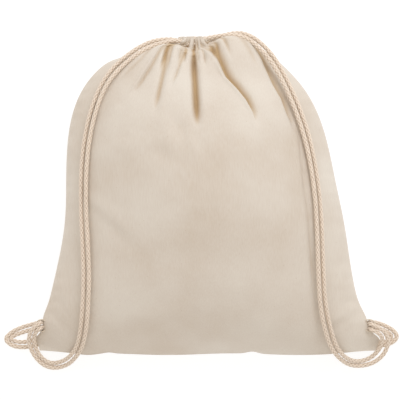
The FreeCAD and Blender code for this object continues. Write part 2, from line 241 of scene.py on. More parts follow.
def makeCottonCord():
    # braided cotton yarn: soft and matte, warmer than the cloth, with painted shade darkening its
    # grooves
    material, tree, shader = newMaterial("braidedCottonCord", 0.9, 0.3)
    depth = addNode(tree, "ShaderNodeAttribute", {"attribute_name": "braidHeight"}).outputs["Fac"]
    place = addNode(tree, "ShaderNodeTexCoord").outputs["Object"]
    mottled = addNode(tree, "ShaderNodeTexNoise", {"Scale": 260.0, "Detail": 3.0}, Vector=place)
    tone = addNode(tree, "ShaderNodeMath", {"operation": "MULTIPLY_ADD", 1: 0.35})
    tree.links.new(mottled.outputs["Fac"], tone.inputs[0])
    tree.links.new(depth, tone.inputs[2])
    # the braid's low places get the darker colour: painted shade in the grooves
    ramp = addNode(tree, "ShaderNodeValToRGB", {}, Fac=tone.outputs[0])
    ramp.color_ramp.elements[0].position = 0.2
    ramp.color_ramp.elements[0].color = hexToLinear(cordYarn["grooveShade"])
    ramp.color_ramp.elements[1].position = 0.85
    ramp.color_ramp.elements[1].color = hexToLinear(cordYarn["crown"])
    tree.links.new(ramp.outputs["Color"], shader.inputs["Base Color"])
    yarns = addNode(tree, "ShaderNodeTexNoise", {"Scale": 1 / (cordYarn["yarnPitch"] * mm)},
                    Vector=place)
    fuzz = addNode(tree, "ShaderNodeBump", {"Strength": 0.5, "Distance": 0.2 * mm},
                   Height=yarns.outputs["Fac"])
    tree.links.new(fuzz.outputs["Normal"], shader.inputs["Normal"])
    rough = addNode(tree, "ShaderNodeMapRange", {"To Min": 0.95, "To Max": 0.85}, Value=depth)
    tree.links.new(rough.outputs["Result"], shader.inputs["Roughness"])
    return material


def makeCottonTrim(name, colour, pitch):
    # twill tape or sewing thread: the same cotton, tighter and smoother
    material, tree, shader = newMaterial(name, 0.8, 0.15)
    place = addNode(tree, "ShaderNodeTexCoord").outputs["Object"]
    ribs = addNode(tree, "ShaderNodeTexWave",
                   {"wave_type": "BANDS", "bands_direction": "DIAGONAL",
                    "Scale": 1 / (pitch * mm) / bandTurn * 2, "Distortion": 0.6}, Vector=place)
    ramp = addNode(tree, "ShaderNodeValToRGB", {}, Fac=ribs.outputs["Color"])
    ramp.color_ramp.elements[0].color = hexToLinear(colour[0])
    ramp.color_ramp.elements[1].color = hexToLinear(colour[1])
    tree.links.new(ramp.outputs["Color"], shader.inputs["Base Color"])
    bump = addNode(tree, "ShaderNodeBump", {"Strength": 0.4, "Distance": 0.15 * mm},
                   Height=ribs.outputs["Color"])
    tree.links.new(bump.outputs["Normal"], shader.inputs["Normal"])
    rough = addNode(tree, "ShaderNodeMapRange", {"To Min": 0.75, "To Max": 0.88},
                    Value=ribs.outputs["Color"])
    tree.links.new(rough.outputs["Result"], shader.inputs["Roughness"])
    return material


cottonCloth = makeCottonCloth("plainWeaveCotton", clothWeave)
cottonEdge = makeCottonCloth("overlockedCottonEdge",
                             {"light": "ebe2d3", "mid": "e0d5c4", "dark": "cfc1ab"})
cottonCord = makeCottonCord()
cottonTape = makeCottonTrim("cottonTwillTape", ("cdbfa8", "e6dbc9"), 0.9)
cottonThread = makeCottonTrim("cottonSewingThread", ("d8ccb8", "f1e9dc"), 0.5)
print("materials ready")


# Each cord comes out of both halves of the casing on its side, lies over the front
# as a pair of strands, goes down through the tape loop and ends in one knot.

cord = {
    "diameter": 5.0, "carriers": 4, "repeat": 5.4,      # mm; crossing yarns round and along
    "relief": 0.75, "step": 0.5, "around": 30,
    "leftLane": 164.8, "rightLane": 170.4,              # heights of the two lanes in the casing
    "frontExit": 43.0, "backExit": 25.0,
    "leftEnd": -23.5, "rightEnd": -1.5,
}

leftFrontRoute = [
    (-23.5, 166.5, 42.5), (-34, 169, 42), (-48, 166.5, 43.5), (-64, 161.5, 48), (-82, 150.5, 53),
    (-102, 131.5, 60), (-115, 111, 63), (-126, 76, 65.5), (-131.5, 36, 65), (-132.3, -8, 64.5),
    (-130, -50, 65), (-128.5, -88, 63), (-130, -120, 57.5), (-132.5, -146, 47.5),
    (-137.5, -165.5, 35), (-145, -176.5, 24.5), (-154, -185.5, 13), (-168.5, -190, 5),
    (-181, -187, 5), (-190.5, -177, 9), (-195.8, -166, 14), (-197, -156.5, 18.5),
    (-193.5, -146, 26), (-183.4, -138.2, 29), (-182.4, -138.2, 15.5), (-193, -141, 9),
    (-206, -144.8, 2.8), (-217, -150, 2.8), (-224.8, -158, 2.8), (-215, -166, 2.8),
    (-201, -167, 2.8), (-187, -164, 4), (-177, -158.5, 6.3), (-170.5, -158, 6.4),
]
leftBackRoute = [
    (-23.5, 166, 25), (-35, 170.5, 26.5), (-49, 170.5, 32), (-65, 167, 39), (-86, 154.5, 47),
    (-106.5, 135.5, 55), (-120, 113, 58.5), (-131.5, 77, 60.5), (-137, 36, 60), (-138, -8, 59.5),
    (-135.8, -50, 61.5), (-134.3, -88, 60.5), (-136, -120, 55.5), (-138.5, -145, 46),
    (-142.6, -163.4, 34.5), (-149.8, -174, 24.5), (-158.3, -181, 13.5), (-170, -184.8, 5.5),
    (-180, -182, 5.5), (-186.5, -174, 9.5), (-190.6, -164.5, 14), (-191.6, -156, 19),
    (-188.5, -148.2, 26), (-182.6, -143.8, 28.5), (-182, -143.6, 15.5), (-192, -146.3, 9),
    (-204, -150, 3), (-214, -153.5, 2.8), (-219, -157.8, 2.8), (-211.5, -161, 2.8),
    (-200, -161, 2.8), (-188, -157.5, 3.5), (-177, -153, 6.3), (-170.5, -152.4, 6.4),
]
rightFrontRoute = [
    (-1.5, 170.8, 43), (11, 173.4, 43), (23, 174.6, 44), (36, 173.2, 46), (50.5, 164.8, 49),
    (67.5, 146, 55), (83, 117.5, 61), (97, 83, 66), (107, 48, 68), (114, 4, 69.5),
    (116.5, -38, 70), (117.8, -80, 67), (120, -118, 59.5), (126, -146, 48.5), (133, -165, 35.5),
    (142, -177, 24.5), (153.5, -185.5, 12), (167, -187.5, 5), (180.5, -184.5, 5), (191, -176.5, 9),
    (196.5, -166, 13.5), (196.8, -155.5, 19), (190, -145.5, 26.5), (176.8, -140, 29),
    (175, -138.4, 15.5), (184, -139, 9), (194, -142.5, 3), (204, -148, 2.8),
    (208.8, -155.5, 2.8), (201.5, -162.5, 2.8), (189, -165.4, 2.8), (176, -163, 4),
    (167, -158.5, 6.3), (161, -158, 6.4),
]
rightBackRoute = [
    (-1.5, 170.4, 25), (12, 173.6, 26), (25, 177, 31), (38.5, 176.8, 38), (54, 168.8, 43.5),
    (71.5, 150, 49), (87.5, 120, 56), (102, 85, 61), (112, 49, 63.5), (119.3, 4, 65),
    (122, -38, 66), (123.3, -80, 63.5), (125.5, -116, 57), (132, -144, 46.5),
    (138, -162.4, 34.5), (146.2, -174, 25), (156.2, -181, 13), (167.6, -182.4, 5.5),
    (178, -178.6, 6), (185.5, -171.5, 10), (189.8, -163.5, 14), (190.8, -156.5, 19.5),
    (186.5, -150, 27), (176.8, -145.6, 28.5), (175.4, -144.3, 15.5), (184, -144.6, 9),
    (192, -147.4, 3), (200, -151.4, 2.8), (202.3, -156, 2.7), (195.5, -161.5, 2.7),
    (186, -160, 2.7), (177, -157, 3.5), (167.5, -153, 6.3), (161, -152.4, 6.4),
]


def smoothLine(name, route):
    # the route's points as control points of one smooth spline, read back as a polyline
    curve = bpy.data.curves.new(name, "CURVE")
    curve.dimensions = "3D"
    curve.resolution_u = 24
    spline = curve.splines.new("NURBS")
    spline.points.add(len(route) - 1)
    for point, place in zip(spline.points, route):
        point.co = (place[0] * mm, place[1] * mm, place[2] * mm, 1)
    spline.order_u = 3
    spline.use_endpoint_u = True
    holder = bpy.data.objects.new(name, curve)
    mesh = bpy.data.meshes.new_from_object(holder)
    line = np.array([v.co[:] for v in mesh.vertices])
    bpy.data.objects.remove(holder)
    bpy.data.curves.remove(curve)
    bpy.data.meshes.remove(mesh)
    return line


def evenSteps(line, step):
    lengths = np.concatenate([[0], np.cumsum(np.linalg.norm(np.diff(line, axis=0), axis=1))])
    count = max(4, int(round(lengths[-1] / step)) + 1)
    marks = np.linspace(0, lengths[-1], count)
    return marks, np.stack([np.interp(marks, lengths, line[:, k]) for k in range(3)], axis=1)


def turningFrames(line):
    # normals carried along the line without twist
    tangents = np.gradient(line, axis=0)
    tangents /= np.linalg.norm(tangents, axis=1)[:, None]
    start = np.cross(tangents[0], (0, 0, 1) if abs(tangents[0][2]) < 0.9 else (1, 0, 0))
    normals = [start / np.linalg.norm(start)]
    for t in tangents[1:]:
        n = normals[-1] - t * normals[-1].dot(t)
        normals.append(n / np.linalg.norm(n))
    normals = np.array(normals)
    return normals, np.cross(tangents, normals)


def braidHeight(along, around):
    # two crossing families of yarn bundles, over one and under one
    a = around * cord["carriers"] + along / (cord["repeat"] * mm)
    b = around * cord["carriers"] - along / (cord["repeat"] * mm)
    over = (np.floor(a) + np.floor(b)) % 2 < 1
    wide = np.where(over, a % 1, b % 1)
    longways = np.where(over, b % 1, a % 1)
    return np.sin(np.pi * wide) ** 0.6 * (0.55 + 0.45 * np.sin(np.pi * longways))


def braidedTube(name, line, diameter, capped=(True, True)):
    marks, centres = evenSteps(line, cord["step"] * mm)
    normals, sides = turningFrames(centres)
    around = np.arange(cord["around"]) / cord["around"]
    height = braidHeight(marks[:, None], around[None, :])
    slack = 1 + 0.03 * np.sin(marks / (23 * mm)) + 0.02 * np.sin(marks / (7.3 * mm) + 1.7)
    radius = (diameter / 2 * mm) * slack[:, None] - cord["relief"] * mm * (1 - height)
    for end, inward in ((0, 1), (-1, -1)):
        if capped[0 if end == 0 else 1]:
            for k, share in enumerate((0.55, 0.8, 0.93)):
                radius[end + inward * k] *= share
    turn = 2 * np.pi * around
    points = (centres[:, None, :] + radius[..., None] *
              (np.cos(turn)[None, :, None] * normals[:, None, :] +
               np.sin(turn)[None, :, None] * sides[:, None, :])).reshape(-1, 3)
    count = len(around)
    faces = gridFaces(len(marks), count, closed=True, flip=True)
    faces.append(tuple(range(count)))
    faces.append(tuple(range(len(points) - 1, len(points) - 1 - count, -1)))
    piece = meshPiece(name, points, faces, cottonCord)
    tone = piece.data.attributes.new("braidHeight", "FLOAT", "POINT")
    tone.data.foreach_set("value", height.reshape(-1).astype(np.float32))
    return piece


def makeStrand(name, node, route):
    line = smoothLine(name, route)
    piece = braidedTube(name, line, cord["diameter"], (False, False))
    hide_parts(node)
    return piece, line


def makeCasingRun(name, node, exitX, farX, lane, bulge):
    # inside the gathered hem: along the front, round at the far slit, back behind
    high, low, middle = cord["frontExit"], cord["backExit"], 34.0
    side = 1 if farX > exitX else -1
    route = [(exitX, lane, high), ((exitX + farX) / 2, lane, high), (farX, lane, high),
             (farX + side * bulge, lane, high - 1), (farX + side * bulge * 1.15, lane, middle),
             (farX + side * bulge, lane, low + 1), (farX, lane, low),
             ((exitX + farX) / 2, lane, low), (exitX, lane, low)]
    piece = braidedTube(name, smoothLine(name, route), cord["diameter"], (False, False))
    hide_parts(node)
    return piece


knotShape = {"turns": 1.55, "length": 15.0, "coil": 3.7, "strand": 4.9, "tail": 11.0,
             "steps": 14, "spread": 2.4, "tailSpread": 4.2, "tailHeight": 3.2}


def makeKnot(name, node, start, side):
    # both strands wound over each other and pulled tight, with their cut ends past the knot
    points, faces, heights = [], [], []
    for k in range(2):
        phase = math.pi * k
        route = []
        steps = knotShape["steps"]
        hand = 1 - 2 * k            # the two ends leave on opposite sides
        for n in range(steps + 1):
            share = n / steps
            turn = phase + share * knotShape["turns"] * 2 * math.pi
            swell = knotShape["coil"] * (0.72 + 0.28 * math.sin(math.pi * share))
            route.append((start[0] - side * (1.5 + share * knotShape["length"]),
                          start[1] + swell * math.cos(turn), start[2] + swell * math.sin(turn)))
        last = route[-1]
        route.append((last[0] - side * 4, start[1] + knotShape["spread"] * hand, start[2] - 1.2))
        route.append((last[0] - side * knotShape["tail"],
                      start[1] + knotShape["tailSpread"] * hand, knotShape["tailHeight"]))
        line = smoothLine(name, route)
        part = braidedTube(name + "Part", line, knotShape["strand"])
        base = len(points)
        points += [v.co[:] for v in part.data.vertices]
        faces += [[i + base for i in p.vertices] for p in part.data.polygons]
        heights += [d.value for d in part.data.attributes["braidHeight"].data]
        bpy.data.objects.remove(part)
    piece = meshPiece(name, points, faces, cottonCord)
    tone = piece.data.attributes.new("braidHeight", "FLOAT", "POINT")
    tone.data.foreach_set("value", heights)
    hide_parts(node)
    return piece


leftFront, leftFrontLine = makeStrand("leftCordFrontStrand", "left_cord_front_strand",
                                      leftFrontRoute)
leftBack, leftBackLine = makeStrand("leftCordBackStrand", "left_cord_back_strand",
                                    leftBackRoute)
rightFront, rightFrontLine = makeStrand("rightCordFrontStrand", "right_cord_front_strand",
                                        rightFrontRoute)
rightBack, rightBackLine = makeStrand("rightCordBackStrand", "right_cord_back_strand",
                                      rightBackRoute)
makeCasingRun("leftCordCasingRun", "left_cord_casing_run", cord["leftEnd"],
              -7.0, cord["leftLane"], 4.0)
makeCasingRun("rightCordCasingRun", "right_cord_casing_run", cord["rightEnd"],
              -18.0, cord["rightLane"], 4.0)
leftKnot = makeKnot("leftCordKnot", "left_cord_knot", (-170.5, -155.2, 6.4), -1)
rightKnot = makeKnot("rightCordKnot", "right_cord_knot", (161.0, -155.2, 6.4), 1)
print("cords ready")


bag = {
    "width": 370.0, "length": 332.5, "bottomY": -174.5, "crown": 78.0, "cornerZ": 20.0,
    "mouthX": -12.5, "mouthZ": 34.0, "mouthHalfLength": 23.0,
    "clothThick": 0.5,          # drawn thickness of the panels
    "lowRows": 92, "foldY": 60.0, "highRows": 98, "columns": 235,
}

hem = {"topY": 172.3, "taper": 6.5, "lean": 4.0, "rows": 22,
       "frontNeck": 17.0, "frontTop": 12.6, "backNeck": 17.0, "backTop": 12.5,
       "openHalf": 4.4, "openLength": 16.0, "under": 0.8, "blendTurns": 8, "blendRows": 6}

# along the bag, left and right edge, height of the seam, rise of the front, drop of the back
stations = [
    (0.0, 1.0, 1.0, bag["cornerZ"], 0.0, 0.0),
    (0.074, 0.980, 0.954, 20.8, 0.397, 8.5),
    (0.209, 0.911, 0.861, 25.0, 0.718, 23.0),
    (0.405, 0.820, 0.797, 28.5, 0.936, 28.8),
    (0.570, 0.801, 0.734, 30.0, 1.0, 30.5),
    (0.735, 0.780, 0.662, 31.0, 0.910, 31.0),
    (0.862, 0.694, 0.553, 32.0, 0.705, 28.0),
    (0.940, 0.559, 0.427, 33.0, 0.500, 23.0),
    (0.976, 0.411, 0.330, 33.5, 0.359, 19.5),
    (0.994, 0.177, 0.169, 34.0, 0.262, 18.0),
    (1.0, 0.0, 0.0, bag["mouthZ"], hem["frontNeck"] / bag["crown"], hem["backNeck"]),
]


def splineThrough(values):
    # natural cubic spline over evenly spaced values
    values = np.array(values, float)
    n = len(values)
    system = np.eye(n)
    right = np.zeros(n)
    for k in range(1, n - 1):
        system[k, k - 1:k + 2] = (1, 4, 1)
        right[k] = 6 * (values[k - 1] - 2 * values[k] + values[k + 1])
    bend = np.linalg.solve(system, right)

    def at(u):
        k = np.clip(np.floor(u).astype(int), 0, n - 2)
        t = u - k
        s = 1 - t
        return (values[k] * s + values[k + 1] * t
                + ((s ** 3 - s) * bend[k] + (t ** 3 - t) * bend[k + 1]) / 6)
    return at


tracks = [splineThrough([station[n] for station in stations]) for n in range(6)]


def sectionAt(v):
    along, left, right, seamZ, rise, drop = [track(v * (len(stations) - 1)) for track in tracks]
    neckLeft = bag["mouthX"] - bag["mouthHalfLength"]
    neckRight = bag["mouthX"] + bag["mouthHalfLength"]
    leftX = neckLeft - left * (bag["width"] / 2 + neckLeft)
    rightX = neckRight + right * (bag["width"] / 2 - neckRight)
    return (bag["bottomY"] + along * bag["length"], leftX, rightX, seamZ, rise * bag["crown"],
            np.minimum(drop, seamZ - 0.4))


def panelProfile(side, across):
    if side > 0:
        return np.maximum(0, 1 - across ** 2) ** 0.8
    return -np.maximum(0, 1 - across ** 4) ** 0.6


def rowPlaces():
    # rows lie closer where the pleats are
    dense = np.linspace(0, 1, 2000)
    reached = sectionAt(dense)[0]
    low = np.linspace(bag["bottomY"], bag["foldY"], bag["lowRows"])
    high = np.linspace(bag["foldY"], reached[-1], bag["highRows"])[1:]
    return np.interp(np.concatenate([low, high]), reached, dense)


def clothGrid(side):
    # millimetres; rows run from the bottom seam to the neck and on up the gathered hem
    even = np.linspace(-1, 1, bag["columns"])[None, :]
    across = 0.72 * even + 0.28 * np.sin(even * np.pi / 2)
    y, left, right, seamZ, rise, drop = sectionAt(rowPlaces()[:, None])
    up = np.linspace(0, 1, hem["rows"] + 1)[1:, None]
    middle = np.concatenate([(left + right) / 2, bag["mouthX"] - hem["lean"] * up])
    half = np.concatenate([(right - left) / 2, bag["mouthHalfLength"] - hem["taper"] * up ** 1.3])
    neck, top = [hem[("front" if side > 0 else "back") + end] for end in ("Neck", "Top")]
    tall = np.maximum(rise if side > 0 else drop, 0)
    tall = np.concatenate([tall, neck + (top - neck) * up])
    base = np.concatenate([seamZ, bag["mouthZ"] + 0 * up])
    full = np.concatenate([0 * y, smoothStep(0, 0.5, up)])
    y = np.concatenate([y, y[-1] + (hem["topY"] - y[-1]) * up])
    profile = panelProfile(side, across)
    profile = profile * (1 - full) + side * np.maximum(0, 1 - across ** 4) ** 0.5 * full
    z = base + tall * profile
    return np.stack([middle + half * across, y + 0 * z, z], axis=2), across + 0 * z


# pleats of the front, from the gather outwards: path, depth, reach to the left and right,
# height of the sharp crest and the side it stands on
frontPleats = [
    {"path": [(-29, 173), (-45, 162.5), (-64, 150.7), (-85, 136.6), (-102, 120)],
     "depth": 2.6, "left": 3.0, "right": 3.5, "crest": 0.9, "side": -1},
    {"path": [(-27, 173), (-38.7, 161), (-54, 147), (-69, 129.5), (-86, 103)],
     "depth": 3.8, "left": 1.5, "right": 3.4, "crest": 1.9, "side": -1},
    {"path": [(-25, 174), (-33, 163), (-45, 147), (-51, 125), (-54, 112), (-60, 82)],
     "depth": 4.8, "left": 2.4, "right": 4.6, "crest": 1.2, "side": 1},
    {"path": [(-20.5, 174), (-23, 159), (-29, 142.6), (-35, 129.5), (-43, 112)],
     "depth": 3.6, "left": 1.7, "right": 2.2, "crest": 1.2, "side": 1},
    {"path": [(-15, 174), (-15.5, 162), (-16, 152), (-15.5, 136), (-13.5, 104), (-11.5, 66)],
     "depth": 9.0, "left": 3.8, "right": 4.6, "crest": 2.4, "side": 1},
    {"path": [(-8, 174), (-6.5, 163), (-1, 153), (7, 145), (19, 129.5), (31, 117), (41.5, 104),
              (48.5, 91), (53, 70)],
     "depth": 7.5, "left": 1.9, "right": 4.8, "crest": 2.4, "side": -1},
    {"path": [(-4.5, 174), (3, 166), (9.5, 160), (17, 150), (27, 137)],
     "depth": 4.0, "left": 1.8, "right": 3.0, "crest": 1.2, "side": -1},
    {"path": [(-2, 173), (14, 165.5), (31, 154.5), (47, 143), (60, 127)],
     "depth": 2.6, "left": 4.0, "right": 5.0, "crest": 0.4, "side": -1},
    {"path": [(0, 172), (24.5, 167), (42, 157), (58, 144), (65, 133), (71.5, 120), (80, 105),
              (86, 88), (98, 60)],
     "depth": 5.4, "left": 2.0, "right": 5.2, "crest": 1.6, "side": -1},
    {"path": [(24, 170), (43, 165), (56, 157), (68, 147), (79, 129.5), (84.5, 115), (90, 96)],
     "depth": 3.4, "left": 2.4, "right": 3.2, "crest": 0.8, "side": -1},
    {"path": [(93, 96), (97, 62), (102, 20), (107, -20), (110.5, -65), (113.5, -104), (117, -150)],
     "depth": 2.4, "left": 2.6, "right": 3.4, "crest": 0.4, "side": -1},
]

# soft swells and hollows: middle, direction in degrees, half length, half width, height
frontSwells = [
    (-29, 69, -60, 16, 7, -2.2), (-19, 56, -60, 15, 6, 1.6), (-42, 55, -75, 18, 8, 1.4),
    (-50, 44, -20, 20, 9, -1.2), (-85, 52, 10, 40, 10, 1.0), (-4, 44, -60, 22, 10, -0.9),
    (30, 55, -80, 26, 12, 0.8), (-112, -15, -40, 34, 7, 1.4), (-98, -40, -45, 30, 8, -1.0),
    (104, 30, -84, 60, 9, 0.9), (93, -20, -86, 70, 9, -0.6), (103, -80, -88, 50, 8, 1.0),
    (-20, -60, 4, 60, 22, -1.0), (40, -100, -12, 50, 16, 0.8), (-60, -130, 8, 46, 9, 0.9),
    (142, -132, 38, 18, 5, 1.4), (130, -146, 30, 22, 5, -1.3), (152, -118, 60, 15, 5, -1.0),
    (-150, -120, -60, 24, 6, 1.0), (-160, -140, -50, 16, 5, -1.0), (66, 92, -62, 22, 8, 1.2),
    (-122, 96, 52, 22, 6, 1.2), (-138, 60, 80, 24, 6, -1.0), (112, 84, -60, 18, 6, 1.0),
]

backSwells = [
    (0, 60, 80, 60, 14, 1.2), (-80, 70, 60, 40, 12, 1.3), (60, 80, -60, 40, 12, 1.3),
    (-140, -100, 70, 40, 8, 1.0), (130, -110, -70, 40, 8, 1.0), (-60, -150, 5, 60, 8, 1.0),
    (70, -152, -5, 60, 8, 1.0),
]


def pleatHeight(x, y, pleat):
    # signed distance to the path picks the wall, share along it the depth
    path = np.array(pleat["path"], float)
    runs = np.linalg.norm(np.diff(path, axis=0), axis=1)
    starts = np.concatenate([[0], np.cumsum(runs)])
    best = np.full(x.shape, 1e9)
    signed = np.zeros(x.shape)
    share = np.zeros(x.shape)
    for k in range(len(runs)):
        a, b = path[k], path[k + 1]
        d = (b - a) / runs[k]
        t = np.clip((x - a[0]) * d[0] + (y - a[1]) * d[1], 0, runs[k])
        dx, dy = x - a[0] - t * d[0], y - a[1] - t * d[1]
        far = np.hypot(dx, dy)
        near = far < best
        best = np.where(near, far, best)
        signed = np.where(near, np.sign(dy * d[0] - dx * d[1]) * far, signed)
        share = np.where(near, (starts[k] + t) / starts[-1], share)
    opening = 0.34 + 0.66 * smoothStep(0.0, 0.4, share)
    wide = np.where(signed < 0, pleat["left"], pleat["right"]) * opening
    fade = (0.20 + 0.80 * smoothStep(0.05, 0.30, share)) * (1 - smoothStep(0.70, 1.0, share))
    valley = -pleat["depth"] * np.exp(-(best / wide) ** 1.4)
    sharp = pleat["left"] if pleat["side"] < 0 else pleat["right"]
    crestAt = pleat["side"] * sharp * 1.5 * opening
    crest = pleat["crest"] * np.exp(-((signed - crestAt) / (sharp * 0.8 + 0.6)) ** 2)
    return (valley + crest) * fade


def swellHeight(x, y, swell):
    cx, cy, angle, halfLength, halfWidth, height = swell
    c, s = math.cos(math.radians(angle)), math.sin(math.radians(angle))
    along = (x - cx) * c + (y - cy) * s
    across = (y - cy) * c - (x - cx) * s
    return height * np.exp(-(along / halfLength) ** 2 - (across / halfWidth) ** 2)


gather = {"focus": (-15.0, 186.0), "ribs": 9, "seed": 7, "topSpan": (-31.0, -1.0)}


def shortPleats(seed):
    # close pleats of the hem, each fading out a little way down the panel
    random = np.random.default_rng(seed)
    low, high = gather["topSpan"]
    pleats = []
    for k in range(gather["ribs"]):
        top = low + (high - low) * (k + 0.5 + 0.25 * random.uniform(-1, 1)) / gather["ribs"]
        fan = (top - gather["focus"][0]) / 15.0
        reach = 26 + 22 * random.random()
        path = [(top, 175), (top + fan * 4, 166), (top + fan * 13, 157),
                (top + fan * 0.75 * (13 + reach * 0.5), 157 - reach * 0.6)]
        pleats.append({"path": path, "depth": 3.4 + 1.4 * random.random(), "left": 1.7,
                       "right": 1.7, "crest": 0.5, "side": -1 if random.random() < 0.5 else 1})
    return pleats


def gridNormals(grid):
    down = np.gradient(grid, axis=0)
    over = np.gradient(grid, axis=1)
    normal = np.cross(over, down)
    size = np.linalg.norm(normal, axis=2)
    return normal / np.maximum(size, 1e-9)[..., None]


def noiseField(grid, scale, seed):
    offset = Vector((seed * 13.7, seed * 5.1, seed * 2.3))
    flat = grid.reshape(-1, 3) * scale
    return np.array([noise.noise(Vector(p) + offset) for p in flat]).reshape(grid.shape[:2])


def clothHeight(grid, pleats, swells):
    x, y = grid[..., 0], grid[..., 1]
    height = np.zeros(x.shape)
    for pleat in pleats:
        height += pleatHeight(x, y, pleat)
    for swell in swells:
        height += swellHeight(x, y, swell)
    return height


neckRow = bag["lowRows"] + bag["highRows"] - 2     # the row where the panel runs into the hem


shoulder = {"startY": 126, "fullY": 155, "fallY": 156, "left": 12.0, "right": 20.5}


def shoulderLift(x, y):
    # the cloth bulges up beside the gathered hem, under the cords
    fall = np.clip((y - shoulder["fallY"]) / (hem["topY"] - shoulder["fallY"]), 0, 1)
    near = smoothStep(shoulder["startY"], shoulder["fullY"], y) * (1 - fall)
    left = shoulder["left"] * smoothStep(-100, -42, x) * (1 - smoothStep(-40, -18, x))
    right = shoulder["right"] * smoothStep(-11, 21, x) * (1 - smoothStep(34, 76, x))
    return near * (left + right)


edges = {"waveReach": 45, "cornerLift": 3.4, "lift": 1.2, "sag": 9.5,
         "aboveTape": 2.4, "belowTape": 6.6}         # how far the sides bulge there


def settleEdges(cloth, across):
    # the bottom edge waves a little, the corners lift and sag, the sides bulge beside the tapes
    x, y = cloth[..., 0].copy(), cloth[..., 1].copy()
    low = 1 - smoothStep(bag["bottomY"], bag["bottomY"] + edges["waveReach"], y)
    wave = 1.1 * np.exp(-((x + 109) / 7) ** 2) + 2.2 * np.exp(-((x - 48) / 8) ** 2)
    wave += 0.9 * np.sin(x / 23 + 0.4) - 1.8 * np.exp(-((x + 133) / 14) ** 2)
    corner = smoothStep(125, 185, np.abs(x))
    cloth[..., 1] += low * (wave * (1 - corner) + edges["cornerLift"] * corner + edges["lift"])
    rim = smoothStep(0.80, 1.0, np.abs(across)) * np.sign(across)
    cloth[..., 0] += rim * (edges["aboveTape"] * np.exp(-((y + 132) / 12) ** 2)
                            + edges["belowTape"] * np.exp(-((y + 161) / 8) ** 2))
    sag = smoothStep(150, 184, np.abs(x)) * (1 - smoothStep(-166, -144, y))
    cloth[..., 2] -= edges["sag"] * sag * smoothStep(0, 12, cloth[..., 2])


def shapedCloth(side, pleats, swells):
    # one half of the bag, from the bottom seam to the top of the hem
    grid, across = clothGrid(side)
    normals = gridNormals(grid) * side
    height = clothHeight(grid, pleats, swells)
    # seams pull the cloth in between small puckers
    bottom = grid[..., 1] - bag["bottomY"]
    edge = np.minimum((1 - np.abs(across)) * 150, bottom)
    alongSeam = np.where(edge < bottom, grid[..., 1], grid[..., 0])
    pucker = 0.45 * np.sin(alongSeam / 2.6 + 2.0 * np.sin(alongSeam / 17.0))
    pucker += 0.5 * np.sin(alongSeam / 7.9 + 1.3)
    fine = 1 - smoothStep(120, 150, grid[..., 1])
    height += pucker * np.exp(-edge / 11.0) * (1 - np.exp(-edge / 1.5)) * fine
    height += (0.55 * noiseField(grid, 0.028, 3 + side)
               + 0.22 * noiseField(grid, 0.09, 9 + side)) * fine
    # near the gather the folds stand straight up, so that they run on through the hem
    upright = (0.85 * smoothStep(105, 150, grid[..., 1]))[..., None]
    direction = normals * (1 - upright) + np.array((0, 0, side)) * upright
    moved = grid + direction * (height * smoothStep(0, 2.0, edge))[..., None]
    moved[..., 1] += shoulderLift(grid[..., 0], grid[..., 1])
    moved[..., 1] += np.clip(0.45 * height, -1.4, 0.6) * smoothStep(166, hem["topY"], grid[..., 1])
    settleEdges(moved, across)
    first, last = neckRow - hem["blendRows"], neckRow + hem["blendRows"]
    for turn in range(hem["blendTurns"]):       # no crease where the panel runs into the hem
        below, above = moved[first - 1:last - 1], moved[first + 1:last + 1]
        moved[first:last] = (below + 2 * moved[first:last] + above) / 4
    moved[..., 2] = np.maximum(moved[..., 2], bag["clothThick"] * 0.2)
    return moved, height


foldShade = {"from": 1.3, "over": 5}         # mm below the cloth where the painted warm fold shade sets in


def addPaintedFoldShade(piece, height):
    # painted shade: the deeper the cloth lies in a fold, the more the warm tint darkens its colour
    shade = piece.data.attributes.new("paintedFoldShade", "FLOAT", "POINT")
    depth = np.clip((-foldShade["from"] - height) / foldShade["over"], 0, 1)
    shade.data.foreach_set("value", depth.reshape(-1).astype(np.float32))


def makePanel(name, node, side, cloth, height):
    rows = len(cloth) - 2           # the same cloth runs on up the outside of the hem
    faces = gridFaces(rows, bag["columns"], flip=side < 0)
    piece = meshPiece(name, cloth[:rows].reshape(-1, 3) * mm, faces, cottonCloth)
    addPaintedFoldShade(piece, height[:rows])
    thick = piece.modifiers.new("clothThickness", "SOLIDIFY")
    thick.thickness = bag["clothThick"] * mm
    thick.offset = -1
    rims = piece.modifiers.new("crispRims", "WEIGHTED_NORMAL")
    rims.weight = 100
    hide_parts(node)
    return piece


def makeHem(name, node, side, cloth, height):
    # a folded band: up just under the outside, over the top, down the inside of the mouth
    outer = cloth[neckRow:].copy()
    up = np.linspace(0, 1, len(outer))[:, None]
    outer[..., 2] -= side * hem["under"] * (1 - smoothStep(0.8, 1, up))
    across = np.linspace(-1, 1, bag["columns"])
    inner = outer[::-1].copy()
    inner[..., 0] = bag["mouthX"] - 1.0 + hem["openLength"] * across
    gap = hem["openHalf"] * np.maximum(0, 1 - across ** 2) ** 0.5 + 0.3 * np.sin(across * 22) + 0.4
    inner[..., 2] = bag["mouthZ"] + side * gap
    inner[..., 1] -= 0.8
    middle = (outer[-1] + inner[0]) / 2
    middle[:, 1] += 1.0
    grid = np.concatenate([outer, middle[None], inner], axis=0)
    rows, columns = grid.shape[:2]
    faces = gridFaces(rows, columns, flip=side < 0)
    low = [((rows - 1) * columns + c, (rows - 1) * columns + c + 1, c + 1, c)
           for c in range(columns - 1)]
    leftEnd = [r * columns for r in range(rows)]
    rightEnd = [r * columns + columns - 1 for r in reversed(range(rows))]
    closing = low + [leftEnd, rightEnd]
    faces += closing if side > 0 else [face[::-1] for face in closing]
    piece = meshPiece(name, grid.reshape(-1, 3) * mm, faces, cottonCloth)
    inside = np.zeros((rows - len(outer), columns))
    addPaintedFoldShade(piece, np.concatenate([height[neckRow:], inside]))
    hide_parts(node)
    return piece


